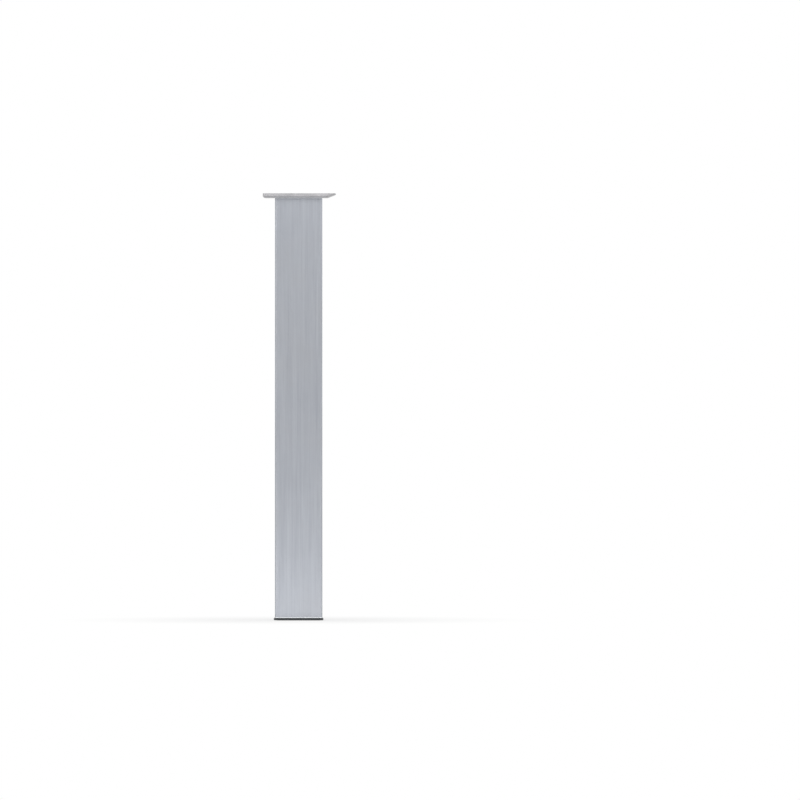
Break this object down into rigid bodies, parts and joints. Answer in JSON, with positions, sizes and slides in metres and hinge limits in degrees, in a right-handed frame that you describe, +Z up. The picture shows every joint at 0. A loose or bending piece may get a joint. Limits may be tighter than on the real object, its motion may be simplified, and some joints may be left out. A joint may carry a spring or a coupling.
{
  "type": "height adjustable table leg",
  "caption": "Square steel table leg with a bevelled screw-on mounting plate and a black square foot that a spindle winds up and down.",
  "frame": {"origin": "centre of the foot's underside, on the tube's axis, at the mouth of the key hole, with the foot wound in", "axes": "+Z up along the tube to the mounting plate; -Y is the front and -X the left, the two sides that face out from under the table's corner"},
  "size_m": [0.1235, 0.1235, 0.72],
  "materials": {
    "brushed_tube": "brushed along the length, satin",
    "cast_zinc": "die-cast zinc, satin nickel plated",
    "plated_steel": "bright zinc plated",
    "black_steel": "black oxide",
    "black_nylon": "moulded, fine texture",
    "pad_rubber": "matt"
  },
  "bodies": {
    "leg": {"mounting_plate": "cast_zinc", "leg_tube": "brushed_tube", "clamp_screw_rear_1": "black_steel", "clamp_screw_rear_2": "black_steel", "clamp_screw_side_1": "black_steel", "clamp_screw_side_2": "black_steel", "foot_plug": "black_nylon", "foot_nut": "plated_steel"},
    "foot": {"foot_base": "black_nylon", "foot_pad": "pad_rubber", "thrust_washer": "plated_steel"},
    "spindle": {"foot_spindle": "plated_steel", "retaining_ring": "black_steel"}
  },
  "joints": [
    {"name": "foot_slide", "type": "slide", "parent": "leg", "child": "foot", "axis": [0, 0, -1], "range_m": [0, 0.02]},
    {"name": "spindle_turn", "type": "hinge", "parent": "foot", "child": "spindle", "pos_m": [0, 0, 0], "axis": [0, 0, -1], "range_deg": [0, 4800]}
  ],
  "couplings": [
    {"joint": "spindle_turn", "follows": "foot_slide", "rad_per_m": 4188.8}
  ]
}
